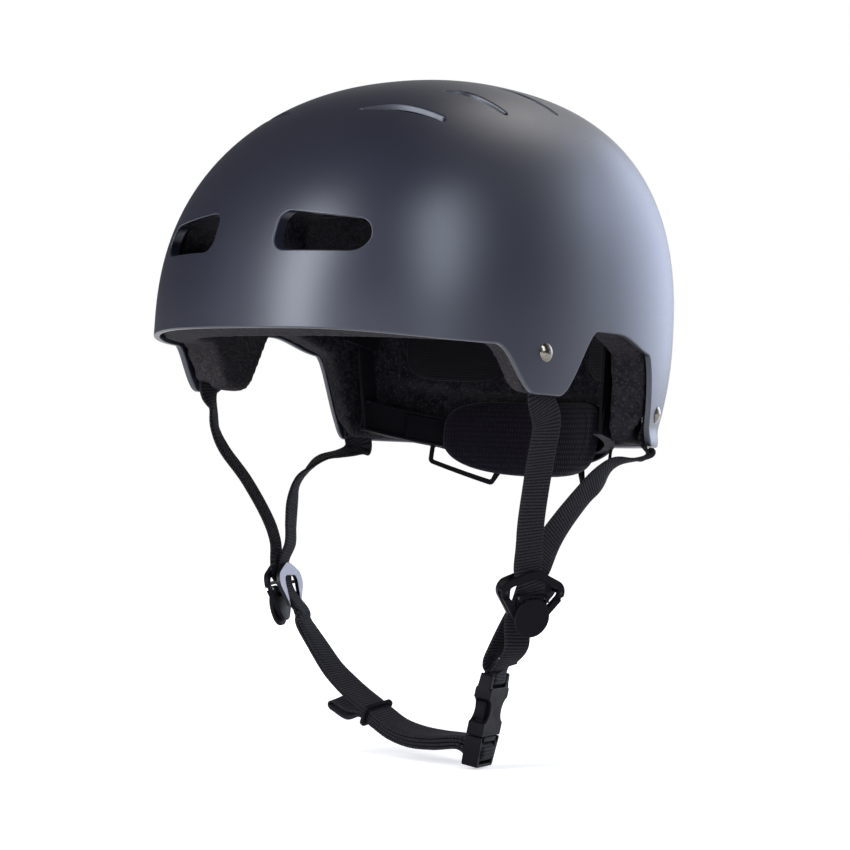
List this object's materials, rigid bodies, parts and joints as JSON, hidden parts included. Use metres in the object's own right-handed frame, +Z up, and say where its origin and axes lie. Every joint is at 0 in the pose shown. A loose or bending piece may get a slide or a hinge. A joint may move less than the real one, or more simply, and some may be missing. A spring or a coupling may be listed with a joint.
{
  "type": "sport helmet",
  "caption": "Round-crowned skate helmet with foam liner, pads, dial-fit nape cradle, V straps with dividers and a side-release chin buckle.",
  "frame": {"origin": "where the helmet is held on the wearer's head: brim level, on the centre line, under the widest section of the shell", "axes": "+Z up, -Y to the wearer's front, +X to the wearer's left"},
  "size_m": [0.224, 0.2839, 0.3395],
  "materials": {
    "shell": "satin dark blue-grey",
    "foam": "matte speckled charcoal bead foam",
    "pad_cloth": "ribbed black fabric",
    "webbing": "black webbing with cross ribs",
    "rivet_metal": "nickel silver, satin",
    "steel": "plain steel",
    "black_plastic": "satin black",
    "pale_plastic": "pale lavender grey"
  },
  "bodies": {
    "helmet": {"outer_shell": "shell", "foam_liner": "foam", "brow_pad": "pad_cloth", "crown_pad": "pad_cloth", "side_pad_left": "pad_cloth", "side_pad_right": "pad_cloth", "rear_pad_left": "pad_cloth", "rear_pad_right": "pad_cloth", "front_rivets": "rivet_metal", "rear_rivets": "rivet_metal", "rivet_washers": "steel", "webbing_left": "webbing", "webbing_right": "webbing", "divider_frame_left": "black_plastic", "divider_frame_right": "black_plastic", "divider_ring_left": "pale_plastic", "divider_ring_right": "pale_plastic", "cover_pins": "steel", "buckle_socket": "black_plastic", "buckle_plug": "black_plastic", "belt_left": "black_plastic", "belt_right": "black_plastic", "belt_pegs": "black_plastic"},
    "yoke": {"cradle_yoke": "black_plastic", "nape_pad": "pad_cloth", "dial_cover_plate": "black_plastic"},
    "dial": {"dial_knob": "black_plastic", "dial_pinion": "steel", "dial_screw": "steel"},
    "rack_l": {"rack_left": "black_plastic"},
    "rack_r": {"rack_right": "black_plastic"},
    "cover_l": {"divider_cover_left": "black_plastic"},
    "cover_r": {"divider_cover_right": "black_plastic"},
    "prong_f": {"buckle_prong_front": "black_plastic"},
    "prong_r": {"buckle_prong_rear": "black_plastic"},
    "keeper": {"keeper_ring": "black_plastic"}
  },
  "joints": [
    {"name": "cradle_slide", "type": "slide", "parent": "helmet", "child": "yoke", "axis": [0, -0.9848, 0.1736], "range_m": [0, 0.01]},
    {"name": "dial_turn", "type": "hinge", "parent": "yoke", "child": "dial", "pos_m": [0, 0.04, -0.0265], "axis": [0, 0.9848, -0.1736], "range_deg": [0, 143.3]},
    {"name": "rack_left_feed", "type": "hinge", "parent": "yoke", "child": "rack_l", "pos_m": [0, 0.04, -0.0265], "axis": [0, 0.1736, 0.9848], "range_deg": [-7.5, 0]},
    {"name": "rack_right_feed", "type": "hinge", "parent": "yoke", "child": "rack_r", "pos_m": [0, 0.04, -0.0265], "axis": [0, 0.1736, 0.9848], "range_deg": [0, 7.5]},
    {"name": "cover_left_flip", "type": "hinge", "parent": "helmet", "child": "cover_l", "pos_m": [0.08203, -0.00605, -0.11775], "axis": [-0.3584, -0.9336, 0], "range_deg": [0, 95]},
    {"name": "cover_right_flip", "type": "hinge", "parent": "helmet", "child": "cover_r", "pos_m": [-0.08253, -0.00355, -0.12175], "axis": [-0.3584, 0.9336, 0], "range_deg": [0, 95]},
    {"name": "prong_rear_squeeze", "type": "hinge", "parent": "helmet", "child": "prong_r", "pos_m": [0.04748, 0.00923, -0.18743], "axis": [0.9497, 0.2545, -0.1822], "range_deg": [0, 8], "stiffness_Nm_per_rad": 0.2},
    {"name": "prong_front_squeeze", "type": "hinge", "parent": "helmet", "child": "prong_f", "pos_m": [0.05203, -0.00777, -0.18743], "axis": [-0.9497, -0.2545, 0.1822], "range_deg": [0, 8], "stiffness_Nm_per_rad": 0.2},
    {"name": "keeper_slide", "type": "slide", "parent": "helmet", "child": "keeper", "axis": [0.8762, 0, -0.4819], "range_m": [-0.003, 0.006]}
  ],
  "couplings": [
    {"joint": "dial_turn", "follows": "cradle_slide", "rad_per_m": 250},
    {"joint": "rack_left_feed", "follows": "cradle_slide", "rad_per_m": -12.987},
    {"joint": "rack_right_feed", "follows": "cradle_slide", "rad_per_m": 12.987},
    {"joint": "prong_front_squeeze", "follows": "prong_rear_squeeze", "ratio": 1}
  ]
}
